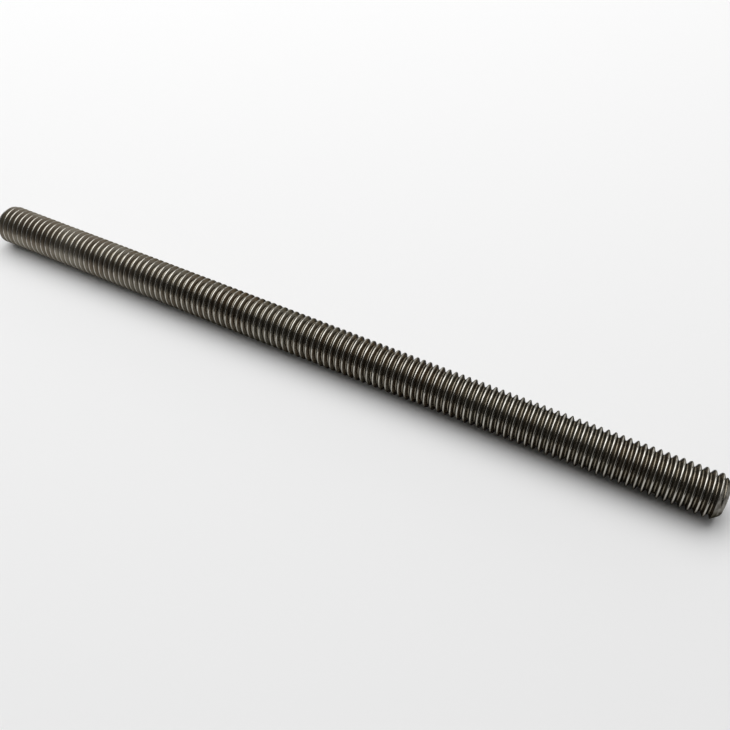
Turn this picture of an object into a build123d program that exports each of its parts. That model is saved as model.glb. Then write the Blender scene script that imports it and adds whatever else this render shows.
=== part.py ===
import os
from math import radians, tan

from build123d import *

# A straight, headless rod with one coarse metric thread, M8 x 1.25, rolled over its whole length.
# It lies along X with its middle at the origin, and +Z is up.
# The solid is the envelope of the thread's crests, and its two chamfered ends are true to the rod.

# Driving sizes, in millimetres and degrees
nominal_diameter = 8.0
pitch = 1.25
rod_length = 150.0
crest_allowance = 0.10
chamfer_relief = 0.45
chamfer_angle = 40.0
rim_round = 0.12

# Depth of the external 60 degree metric thread, as a share of its pitch
THREAD_DEPTH_IN_PITCHES = 0.61343

# The rolled crests stand a little under the nominal size, and the roots lie one thread depth below it
crest_radius = (nominal_diameter - crest_allowance) / 2
root_radius = nominal_diameter / 2 - THREAD_DEPTH_IN_PITCHES * pitch

# Each end face is smaller than the roots, so that the thread fades out in the chamfer before it
# reaches the face, and a nut starts easily
end_face_radius = root_radius - chamfer_relief
chamfer_run = (crest_radius - end_face_radius) / tan(radians(chamfer_angle))
half_length = rod_length / 2


with BuildPart() as threaded_rod:
    with BuildSketch(Plane.XZ) as half_section:
        with BuildLine():
            Polyline(
                (-half_length, 0),
                (-half_length, end_face_radius),
                (-half_length + chamfer_run, crest_radius),
                (half_length - chamfer_run, crest_radius),
                (half_length, end_face_radius),
                (half_length, 0),
                close=True,
            )
        make_face()
        end_rims = half_section.vertices().group_by(Axis.Y)[1]
        fillet(end_rims, radius=rim_round)
    revolve(axis=Axis.X)

threaded_rod.part.label = "threaded_rod"

os.makedirs("parts", exist_ok=True)
export_step(threaded_rod.part, "parts/threaded_rod.step")
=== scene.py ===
import math

import bmesh
import bpy
from mathutils import Matrix, Vector


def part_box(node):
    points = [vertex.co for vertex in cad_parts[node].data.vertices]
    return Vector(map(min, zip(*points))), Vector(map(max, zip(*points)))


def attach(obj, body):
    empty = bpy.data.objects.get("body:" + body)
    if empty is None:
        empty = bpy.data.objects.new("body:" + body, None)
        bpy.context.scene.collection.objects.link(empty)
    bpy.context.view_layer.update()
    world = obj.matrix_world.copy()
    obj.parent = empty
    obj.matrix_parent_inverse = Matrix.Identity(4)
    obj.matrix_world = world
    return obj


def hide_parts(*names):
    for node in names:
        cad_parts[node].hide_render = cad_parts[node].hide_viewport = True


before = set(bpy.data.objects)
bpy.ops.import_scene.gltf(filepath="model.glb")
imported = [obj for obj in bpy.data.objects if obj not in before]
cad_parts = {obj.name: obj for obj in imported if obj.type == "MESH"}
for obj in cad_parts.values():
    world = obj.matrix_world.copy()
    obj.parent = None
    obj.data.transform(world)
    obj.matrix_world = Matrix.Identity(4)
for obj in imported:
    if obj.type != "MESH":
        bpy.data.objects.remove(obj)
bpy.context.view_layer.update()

MM = 0.001
AXIS_X = Vector((1, 0, 0))

# Sizes of the rod, in metres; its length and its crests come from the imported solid
rod_low, rod_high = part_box("threaded_rod")
HALF_LENGTH = rod_high.x
CREST_RADIUS = rod_high.y
PITCH = 1.25 * MM
NOMINAL_RADIUS = 4.0 * MM
THREAD_DEPTH_IN_PITCHES = 0.61343
ROOT_RADIUS = NOMINAL_RADIUS - THREAD_DEPTH_IN_PITCHES * PITCH
CREST_FLAT = PITCH / 8
FLANK_ANGLE = math.radians(30)

# Where a crest crosses the top of the rod, from the rod's middle
CREST_ON_TOP = -72.73 * MM

# The chamfered ends
CHAMFER_RELIEF = 0.45 * MM
CHAMFER_ANGLE = math.radians(40)
RIM_ROUND = 0.12 * MM
END_FACE_RADIUS = ROOT_RADIUS - CHAMFER_RELIEF

# How far the thread and the blank run past each other before the one is cut by the other
OVERRUN = PITCH / 2

# Fineness of the mesh
TURN_STEPS = 64
CREST_STEPS = 6
ROOT_STEPS = 4
BLANK_STEPS = 128
RIM_STEPS = 4
WELD = 0.002 * MM
CUT_WELD = WELD / 4
SHARP_ANGLE = math.radians(38)


def arc(centre, radius, first, last, steps):
    """Points (x, r) of an arc; its angles run from the outward direction towards +x."""
    turns = [first + (last - first) * k / steps for k in range(steps + 1)]
    return [(centre[0] + radius * math.sin(a), centre[1] + radius * math.cos(a)) for a in turns]


def round_over(half_flat):
    """Radius that rounds a flat between the two flanks and keeps the flat's height."""
    return half_flat * math.cos(FLANK_ANGLE) / (1 - math.sin(FLANK_ANGLE))


def thread_section():
    """One pitch of the thread's section as points (x, r), from one root's bottom to the next."""
    slope = math.tan(FLANK_ANGLE)
    half_crest = CREST_FLAT / 2 + (NOMINAL_RADIUS - CREST_RADIUS) * slope
    half_root = (PITCH - CREST_FLAT) / 2 - (NOMINAL_RADIUS - ROOT_RADIUS) * slope
    crest_round = round_over(half_crest)
    root_round = round_over(half_root)
    lean = math.pi / 2 - FLANK_ANGLE
    crest_centre = (PITCH / 2, CREST_RADIUS - crest_round)
    near_centre = (0, ROOT_RADIUS + root_round)
    far_centre = (PITCH, ROOT_RADIUS + root_round)
    near_root = arc(near_centre, root_round, math.pi, math.pi - lean, ROOT_STEPS // 2)
    crest = arc(crest_centre, crest_round, -lean, lean, CREST_STEPS)
    far_root = arc(far_centre, root_round, math.pi + lean, math.pi, ROOT_STEPS // 2)
    return near_root + crest + far_root


def draw_line(bm, points):
    """A chain of edges over the axis, through points (x, r)."""
    verts = [bm.verts.new((x, 0, r)) for x, r in points]
    for a, b in zip(verts, verts[1:]):
        bm.edges.new((a, b))


def spin_round_axis(bm, steps, advance=0.0, closed=True):
    """Turns everything in bm once round X, with a shift along X of advance in the whole turn."""
    bmesh.ops.spin(
        bm, geom=bm.verts[:] + bm.edges[:], cent=(0, 0, 0), axis=AXIS_X,
        dvec=(advance / steps, 0, 0), angle=math.tau, steps=steps, use_merge=closed,
    )
    bmesh.ops.remove_doubles(bm, verts=bm.verts[:], dist=WELD)


def cut_square(bm, x):
    """Cuts the swept thread off at x and closes the cut."""
    outward = AXIS_X if x > 0 else -AXIS_X
    geometry = bm.verts[:] + bm.edges[:] + bm.faces[:]
    cut = bmesh.ops.bisect_plane(
        bm, geom=geometry, plane_co=(x, 0, 0), plane_no=outward, clear_outer=True, dist=CUT_WELD,
    )
    rim = [e for e in cut["geom_cut"] if isinstance(e, bmesh.types.BMEdge)]
    bmesh.ops.contextual_create(bm, geom=rim)


def to_object(bm, name):
    """Makes bm an object of the scene, with its faces outwards."""
    bmesh.ops.recalc_face_normals(bm, faces=bm.faces[:])
    mesh = bpy.data.meshes.new(name)
    bm.to_mesh(mesh)
    bm.free()
    piece = bpy.data.objects.new(name, mesh)
    bpy.context.scene.collection.objects.link(piece)
    return piece


def make_endless_thread():
    """A right-hand thread that runs past both ends of the rod, cut square."""
    first_root = CREST_ON_TOP - PITCH / 2
    turns_before = math.ceil((first_root + HALF_LENGTH + OVERRUN + PITCH) / PITCH)
    start = first_root - turns_before * PITCH
    turns = math.ceil((HALF_LENGTH + OVERRUN - start) / PITCH)
    bm = bmesh.new()
    draw_line(bm, [(start + x, r) for x, r in thread_section()])
    bmesh.ops.spin(
        bm, geom=bm.verts[:] + bm.edges[:], axis=AXIS_X, dvec=(PITCH, 0, 0),
        angle=0, steps=turns - 1, use_duplicate=True,
    )
    bmesh.ops.remove_doubles(bm, verts=bm.verts[:], dist=WELD)
    spin_round_axis(bm, TURN_STEPS, advance=PITCH, closed=False)
    cut_square(bm, -HALF_LENGTH - OVERRUN)
    cut_square(bm, HALF_LENGTH + OVERRUN)
    return to_object(bm, "endless_thread")


def make_blank():
    """The turned blank: flat end faces, rounded rims and chamfers that run out past the crests."""
    clear_radius = CREST_RADIUS + OVERRUN
    rim_centre_x = HALF_LENGTH - RIM_ROUND
    half_turn = math.pi / 2 - CHAMFER_ANGLE
    rim_centre_r = END_FACE_RADIUS - RIM_ROUND * math.tan((math.pi / 2 - half_turn) / 2)
    chamfer_end_x = HALF_LENGTH - (clear_radius - END_FACE_RADIUS) / math.tan(CHAMFER_ANGLE)
    rim = arc((rim_centre_x, rim_centre_r), RIM_ROUND, math.pi / 2, half_turn, RIM_STEPS)
    right_end = [(HALF_LENGTH, 0)] + rim + [(chamfer_end_x, clear_radius)]
    left_end = [(-x, r) for x, r in reversed(right_end)]
    bm = bmesh.new()
    draw_line(bm, right_end + left_end)
    spin_round_axis(bm, BLANK_STEPS)
    return to_object(bm, "blank")


def make_rod():
    """The thread cut to the blank's ends."""
    thread = make_endless_thread()
    blank = make_blank()
    cut = thread.modifiers.new("ends", "BOOLEAN")
    cut.operation = "INTERSECT"
    cut.solver = "MANIFOLD"
    cut.object = blank
    finished = thread.evaluated_get(bpy.context.evaluated_depsgraph_get())
    mesh = bpy.data.meshes.new_from_object(finished)
    mesh.name = "rolled_rod"
    mesh.materials.clear()
    rod = bpy.data.objects.new("rolled_rod", mesh)
    bpy.context.scene.collection.objects.link(rod)
    bpy.data.objects.remove(thread)
    bpy.data.objects.remove(blank)
    mesh.shade_smooth()
    mesh.set_sharp_from_angle(angle=SHARP_ANGLE)
    return rod


# The noise that every pattern on the steel is made from
NOISE_MIDDLE = 0.5
NOISE_ROUGHNESS = 0.6
NOISE_DETAIL = 3.0


class NodeTree:
    """Short calls that add nodes to one shader tree.

    A value is a number, a colour or another node's output.
    """

    def __init__(self, tree):
        self.tree = tree

    def feed(self, socket, value):
        if isinstance(value, bpy.types.NodeSocket):
            self.tree.links.new(value, socket)
        elif value is not None:
            socket.default_value = value

    def add(self, kind, inputs=(), **settings):
        node = self.tree.nodes.new(kind)
        for name, setting in settings.items():
            setattr(node, name, setting)
        for index, value in enumerate(inputs):
            self.feed(node.inputs[index], value)
        return node

    def math(self, operation, a, b=None):
        return self.add("ShaderNodeMath", (a, b), operation=operation).outputs[0]

    def plus(self, base, mask, strength):
        """base with strength times mask added to it."""
        return self.math("ADD", base, self.math("MULTIPLY", mask, strength))

    def ramp(self, value, low, high, to_low=0.0, to_high=1.0):
        """Eases value from to_low, where it is low or less, to to_high, where it is high or more."""
        node = self.add(
            "ShaderNodeMapRange", (value, low, high, to_low, to_high), interpolation_type="SMOOTHSTEP",
        )
        return node.outputs["Result"]

    def mix(self, share, first, second):
        """The colour that runs from first to second as share runs from 0 to 1."""
        node = self.add("ShaderNodeMix", data_type="RGBA")
        colours = [socket for socket in node.inputs if socket.type == "RGBA"]
        self.feed(node.inputs["Factor"], share)
        self.feed(colours[0], first)
        self.feed(colours[1], second)
        return next(socket for socket in node.outputs if socket.type == "RGBA")

    def point(self, scale=(1, 1, 1)):
        """The point on the rod, in metres, scaled along X, Y and Z."""
        place = self.add("ShaderNodeTexCoord").outputs["Object"]
        mapping = self.add("ShaderNodeMapping", (place,))
        self.feed(mapping.inputs["Scale"], scale)
        return mapping.outputs[0]

    def along_rod(self):
        """How far the point lies from the rod's middle, along X."""
        return self.add("ShaderNodeSeparateXYZ", (self.point(),)).outputs["X"]

    def from_axis(self):
        """How far the point lies from the rod's axis."""
        across = self.point(scale=(0, 1, 1))
        return self.add("ShaderNodeVectorMath", (across,), operation="LENGTH").outputs["Value"]

    def pattern(self, vector, scale, spread, detail=NOISE_DETAIL):
        """Noise from 0 to 1, the harder the smaller its spread is."""
        node = self.add("ShaderNodeTexNoise")
        self.feed(node.inputs["Vector"], vector)
        self.feed(node.inputs["Scale"], scale)
        self.feed(node.inputs["Detail"], detail)
        self.feed(node.inputs["Roughness"], NOISE_ROUGHNESS)
        return self.ramp(node.outputs["Fac"], NOISE_MIDDLE - spread, NOISE_MIDDLE + spread)

    def use(self, group, **inputs):
        """Places a node group; its inputs are named with _ for a space."""
        node = self.add("ShaderNodeGroup", node_tree=group)
        for name, value in inputs.items():
            self.feed(node.inputs[name.replace("_", " ")], value)
        return node.outputs[0]


def new_group(name, inputs, output):
    """An empty node group with number inputs and one number output."""
    group = bpy.data.node_groups.new(name, "ShaderNodeTree")
    for label in inputs:
        group.interface.new_socket(label, in_out="INPUT", socket_type="NodeSocketFloat")
    group.interface.new_socket(output, in_out="OUTPUT", socket_type="NodeSocketFloat")
    nodes = NodeTree(group)
    start = nodes.add("NodeGroupInput")
    end = nodes.add("NodeGroupOutput")
    return nodes, start, end


def make_radial_group():
    """Where a point lies between two radii round the rod's axis, from 0 to 1."""
    nodes, start, end = new_group("radial height", ("Inner Radius", "Outer Radius"), "Height")
    inner = start.outputs["Inner Radius"]
    outer = start.outputs["Outer Radius"]
    height = nodes.add("ShaderNodeMapRange", (nodes.from_axis(), inner, outer))
    nodes.feed(end.inputs[0], height.outputs["Result"])
    return nodes.tree


MARKS_SPREAD = 0.2


def make_marks_group():
    """Fine marks that run round the rod, as rolling leaves them."""
    nodes, start, end = new_group("marks round the rod", ("Width", "Length"), "Marks")
    across = nodes.math("DIVIDE", 1.0, start.outputs["Width"])
    along = nodes.math("DIVIDE", 1.0, start.outputs["Length"])
    scale = nodes.add("ShaderNodeCombineXYZ", (across, along, along)).outputs[0]
    nodes.feed(end.inputs[0], nodes.pattern(nodes.point(scale), 1.0, MARKS_SPREAD))
    return nodes.tree


PATCHES_SPREAD = 0.15


def make_patches_group():
    """Soft uneven patches, as oil, handling and stain leave them."""
    nodes, start, end = new_group("patches", ("Size",), "Patches")
    scale = nodes.math("DIVIDE", 1.0, start.outputs["Size"])
    nodes.feed(end.inputs[0], nodes.pattern(nodes.point(), scale, PATCHES_SPREAD))
    return nodes.tree


# How far a dent's floor and its rim lie from its middle, as shares of the dents' spacing
DENT_FLOOR = 0.05
DENT_RIM = 0.35


def make_nicks_group():
    """Small scattered dents, in the given share of the cells."""
    nodes, start, end = new_group("nicks", ("Spacing", "Share"), "Nicks")
    cells = nodes.add("ShaderNodeTexVoronoi")
    nodes.feed(cells.inputs["Vector"], nodes.point())
    nodes.feed(cells.inputs["Scale"], nodes.math("DIVIDE", 1.0, start.outputs["Spacing"]))
    chance = nodes.add("ShaderNodeSeparateColor", (cells.outputs["Color"],)).outputs[0]
    picked = nodes.math("LESS_THAN", chance, start.outputs["Share"])
    dents = nodes.ramp(cells.outputs["Distance"], DENT_FLOOR, DENT_RIM, 1.0, 0.0)
    nodes.feed(end.inputs[0], nodes.math("MULTIPLY", dents, picked))
    return nodes.tree


RINGS_SPREAD = 0.2
RINGS_DETAIL = 2.0


def make_rings_group():
    """Rings round the axis, as a cutting tool leaves them on an end face and on a chamfer."""
    nodes, start, end = new_group("turning rings", ("Width",), "Rings")
    place = nodes.add("ShaderNodeCombineXYZ", (nodes.along_rod(), nodes.from_axis(), 0.0)).outputs[0]
    scale = nodes.math("DIVIDE", 1.0, start.outputs["Width"])
    nodes.feed(end.inputs[0], nodes.pattern(place, scale, RINGS_SPREAD, detail=RINGS_DETAIL))
    return nodes.tree


def new_material(name):
    """A material, the calls that add its nodes, and its shader."""
    material = bpy.data.materials.new(name)
    material.use_nodes = True
    tree = material.node_tree
    return material, NodeTree(tree), tree.nodes["Principled BSDF"]


RELIEF_STRENGTH = 0.5


def add_relief(nodes, shader, height, depth):
    """Raises the surface by height times depth, as seen by light."""
    bump = nodes.add("ShaderNodeBump")
    bump.inputs["Strength"].default_value = RELIEF_STRENGTH
    bump.inputs["Distance"].default_value = depth
    nodes.feed(bump.inputs["Height"], height)
    nodes.feed(shader.inputs["Normal"], bump.outputs[0])


# Colours of the steel
CREST_STEEL = (0.5, 0.483, 0.437, 1)
FLANK_STEEL = (0.125, 0.113, 0.088, 1)
# Painted light: the paler flank colour towards the left end
PAINTED_LIGHT_STEEL = (0.27, 0.245, 0.2, 1)
ROOT_STEEL = (0.24, 0.215, 0.17, 1)
BROWN_STAIN = (0.11, 0.078, 0.05, 1)
CUT_STEEL = (0.27, 0.26, 0.235, 1)
CUT_STEEL_DARK = (0.1, 0.092, 0.08, 1)
OILY_EDGE = (0.13, 0.128, 0.11, 1)

# Along the rod, the left end's flanks are painted paler, as painted light, and are rougher; the rest
# is darker
PAINTED_LIGHT_FULL_UNTIL = -70 * MM
PAINTED_LIGHT_GONE_FROM = -15 * MM

# Where the crests' polish begins and is full, and where the roots are full and end, as shares of
# the thread's height
CREST_BAND = (0.88, 0.98)
ROOT_BAND = (0.03, 0.16)

# The rolled steel: how much stain and wear show, its roughness and what adds to it, and its dents
STAIN_SHARE = 0.6
CREST_WEAR = 0.35
FLANK_ROUGHNESS = 0.22
CREST_ROUGHNESS = 0.08
ROUGHNESS_TOWARDS_LEFT_END = 0.1
ROUGHNESS_OF_MARKS = 0.03
ROUGHNESS_OF_PATCHES = 0.05
FLANK_METALLIC = 0.9
ROLLED_DENT_DEPTH = 0.008 * MM
MARK_DEPTH_IN_DENTS = 0.07


def make_rolled_steel(radial, marks, patches, nicks):
    """Polished crests, dull warm flanks and slightly paler roots."""
    material, nodes, shader = new_material("rolled steel")
    height = nodes.use(radial, Inner_Radius=ROOT_RADIUS, Outer_Radius=CREST_RADIUS)
    fine = nodes.use(marks, Width=0.05 * MM, Length=0.9 * MM)
    broad = nodes.use(patches, Size=7 * MM)
    small = nodes.use(patches, Size=1.1 * MM)
    dents = nodes.use(nicks, Spacing=0.9 * MM, Share=0.12)
    crest = nodes.ramp(height, *CREST_BAND)
    root = nodes.ramp(height, *ROOT_BAND, 1.0, 0.0)
    left_painted_light = nodes.ramp(nodes.along_rod(), PAINTED_LIGHT_FULL_UNTIL, PAINTED_LIGHT_GONE_FROM, 1.0, 0.0)

    # Painted light: the flanks' colour is painted paler towards the left end
    flank_colour = nodes.mix(left_painted_light, FLANK_STEEL, PAINTED_LIGHT_STEEL)
    stained_colour = nodes.mix(nodes.math("MULTIPLY", broad, STAIN_SHARE), flank_colour, BROWN_STAIN)
    deep_colour = nodes.mix(root, stained_colour, ROOT_STEEL)
    worn = nodes.math("MULTIPLY", crest, nodes.plus(1.0, small, -CREST_WEAR))
    nodes.feed(shader.inputs["Base Color"], nodes.mix(worn, deep_colour, CREST_STEEL))

    roughness = nodes.ramp(crest, 0.0, 1.0, FLANK_ROUGHNESS, CREST_ROUGHNESS)
    roughness = nodes.plus(roughness, left_painted_light, ROUGHNESS_TOWARDS_LEFT_END)
    roughness = nodes.plus(roughness, fine, ROUGHNESS_OF_MARKS)
    roughness = nodes.plus(roughness, small, ROUGHNESS_OF_PATCHES)
    nodes.feed(shader.inputs["Roughness"], roughness)
    nodes.feed(shader.inputs["Metallic"], nodes.ramp(crest, 0.0, 1.0, FLANK_METALLIC, 1.0))
    shader.inputs["Specular Tint"].default_value = OILY_EDGE

    relief = nodes.math("SUBTRACT", nodes.math("MULTIPLY", fine, MARK_DEPTH_IN_DENTS), dents)
    add_relief(nodes, shader, relief, depth=ROLLED_DENT_DEPTH)
    return material


# The cut steel: how much rings and patches darken it, its roughness and what adds to it, and its
# dents
RINGS_SHARE = 0.35
PATCHES_SHARE = 0.5
CUT_ROUGHNESS = 0.17
CUT_ROUGHNESS_OF_PATCHES = 0.12
CUT_ROUGHNESS_OF_RINGS = 0.08
CUT_DENT_DEPTH = 0.01 * MM
RING_DEPTH_IN_DENTS = 0.4


def make_cut_steel(rings, patches, nicks):
    """The chamfers and end faces: darker steel with turning rings and small dents."""
    material, nodes, shader = new_material("cut steel")
    turned = nodes.use(rings, Width=0.06 * MM)
    small = nodes.use(patches, Size=0.9 * MM)
    dents = nodes.use(nicks, Spacing=0.7 * MM, Share=0.15)

    shade = nodes.plus(nodes.math("MULTIPLY", turned, RINGS_SHARE), small, PATCHES_SHARE)
    nodes.feed(shader.inputs["Base Color"], nodes.mix(shade, CUT_STEEL, CUT_STEEL_DARK))

    roughness = nodes.plus(CUT_ROUGHNESS, small, CUT_ROUGHNESS_OF_PATCHES)
    roughness = nodes.plus(roughness, turned, CUT_ROUGHNESS_OF_RINGS)
    nodes.feed(shader.inputs["Roughness"], roughness)
    shader.inputs["Metallic"].default_value = 1.0
    shader.inputs["Specular Tint"].default_value = OILY_EDGE

    relief = nodes.math("SUBTRACT", nodes.math("MULTIPLY", turned, RING_DEPTH_IN_DENTS), dents)
    add_relief(nodes, shader, relief, depth=CUT_DENT_DEPTH)
    return material


def is_cut(centre):
    """Whether a face lies on an end face or a chamfer, which are cut and not rolled."""
    from_end = HALF_LENGTH - abs(centre.x)
    chamfer_radius = END_FACE_RADIUS + from_end * math.tan(CHAMFER_ANGLE)
    return math.hypot(centre.y, centre.z) > chamfer_radius - RIM_ROUND or from_end < WELD


def finish_rod(rod):
    """Gives the rod its two finishes."""
    patches = make_patches_group()
    nicks = make_nicks_group()
    rolled = make_rolled_steel(make_radial_group(), make_marks_group(), patches, nicks)
    cut = make_cut_steel(make_rings_group(), patches, nicks)
    rod.data.materials.append(rolled)
    rod.data.materials.append(cut)
    for face in rod.data.polygons:
        face.material_index = int(is_cut(face.center))


FLOOR_REACH = 0.8
FLOOR_WHITE = (0.88, 0.88, 0.88, 1)
FLOOR_ROUGHNESS = 0.9


def make_floor():
    """A plain white floor, level with the underside of the rod."""
    bm = bmesh.new()
    bmesh.ops.create_grid(bm, x_segments=1, y_segments=1, size=FLOOR_REACH)
    bmesh.ops.translate(bm, verts=bm.verts[:], vec=(0, 0, rod_low.z))
    floor = to_object(bm, "floor")
    material, _, shader = new_material("white paper")
    shader.inputs["Base Color"].default_value = FLOOR_WHITE
    shader.inputs["Roughness"].default_value = FLOOR_ROUGHNESS
    floor.data.materials.append(material)


# Light: one large level panel over the rod and behind it, turned round the upright. Its front edge
# stands a little in front of the rod.
PANEL_TURN = math.radians(46)
PANEL_HEIGHT = 0.7
PANEL_WIDTH = 1.25
PANEL_DEPTH = 1.05
PANEL_FRONT = -0.135
PANEL_RIGHT_SHIFT = 0.08
PANEL_WATTS = 9.95


def add_panel():
    """The lamp, seen by the steel and the floor and not by the camera."""
    lamp = bpy.data.lights.new("panel", "AREA")
    lamp.shape = "RECTANGLE"
    lamp.size = PANEL_WIDTH
    lamp.size_y = PANEL_DEPTH
    lamp.energy = PANEL_WATTS
    holder = bpy.data.objects.new("panel", lamp)
    centre = Vector((PANEL_RIGHT_SHIFT, PANEL_FRONT + PANEL_DEPTH / 2, PANEL_HEIGHT))
    turn = Matrix.Rotation(PANEL_TURN, 4, "Z")
    holder.matrix_world = turn @ Matrix.Translation(centre)
    holder.visible_camera = False
    bpy.context.scene.collection.objects.link(holder)


# The room is dim. Its far and left walls are pale, and it is pale all round just above the floor.
ROOM_LIGHT = 0.02
FAR_WALL_LIGHT = 0.85
LEFT_WALL_LIGHT = 0.3

# Between which parts of the unit direction from the rod each pale place fades
FAR_WALL_ALONG_Y = (-0.25, 0.35)
FAR_WALL_TOP_ALONG_Z = (0.3, 0.55)
LOW_BAND_TOP_ALONG_Z = (0.01, 0.05)
LEFT_WALL_ALONG_X = (-0.75, -0.4)


def light_room():
    """The light from the room, by direction."""
    world = bpy.data.worlds.new("room")
    world.use_nodes = True
    nodes = NodeTree(world.node_tree)
    background = world.node_tree.nodes["Background"]
    direction = nodes.add("ShaderNodeTexCoord").outputs["Generated"]
    parts = nodes.add("ShaderNodeSeparateXYZ", (direction,)).outputs
    far = nodes.ramp(parts["Y"], *FAR_WALL_ALONG_Y)
    below_top = nodes.ramp(parts["Z"], *FAR_WALL_TOP_ALONG_Z, 1.0, 0.0)
    low_band = nodes.ramp(parts["Z"], *LOW_BAND_TOP_ALONG_Z, 1.0, 0.0)
    pale = nodes.math("MAXIMUM", nodes.math("MULTIPLY", far, below_top), low_band)
    far_wall = nodes.math("MULTIPLY", pale, FAR_WALL_LIGHT)
    left_wall = nodes.ramp(parts["X"], *LEFT_WALL_ALONG_X, LEFT_WALL_LIGHT, 0.0)
    walls = nodes.math("MAXIMUM", far_wall, left_wall)
    nodes.feed(background.inputs["Strength"], nodes.math("ADD", walls, ROOM_LIGHT))
    background.inputs["Color"].default_value = (1, 1, 1, 1)
    bpy.context.scene.world = world


# The camera: its place and the point it aims at, in metres, and its focal length and sensor, in
# millimetres
CAMERA_PLACE = Vector((55.12, -87.55, 114.24)) * MM
CAMERA_AIM = Vector((10.92, -1.05, 0.04)) * MM
FOCAL_LENGTH = 40.66
SENSOR_WIDTH = 36.0
NEAREST_SEEN = 0.005
FARTHEST_SEEN = 20.0


def place_camera():
    """The camera, at the photograph's place."""
    data = bpy.data.cameras.new("camera")
    data.lens = FOCAL_LENGTH
    data.sensor_width = SENSOR_WIDTH
    data.clip_start = NEAREST_SEEN
    data.clip_end = FARTHEST_SEEN
    camera = bpy.data.objects.new("camera", data)
    camera.location = CAMERA_PLACE
    camera.rotation_euler = (CAMERA_PLACE - CAMERA_AIM).to_track_quat("Z", "Y").to_euler()
    bpy.context.scene.collection.objects.link(camera)
    bpy.context.scene.camera = camera


rod = make_rod()
finish_rod(rod)
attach(rod, "root")
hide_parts("threaded_rod")

make_floor()
add_panel()
light_room()
place_camera()
bpy.context.scene.view_settings.view_transform = "Standard"
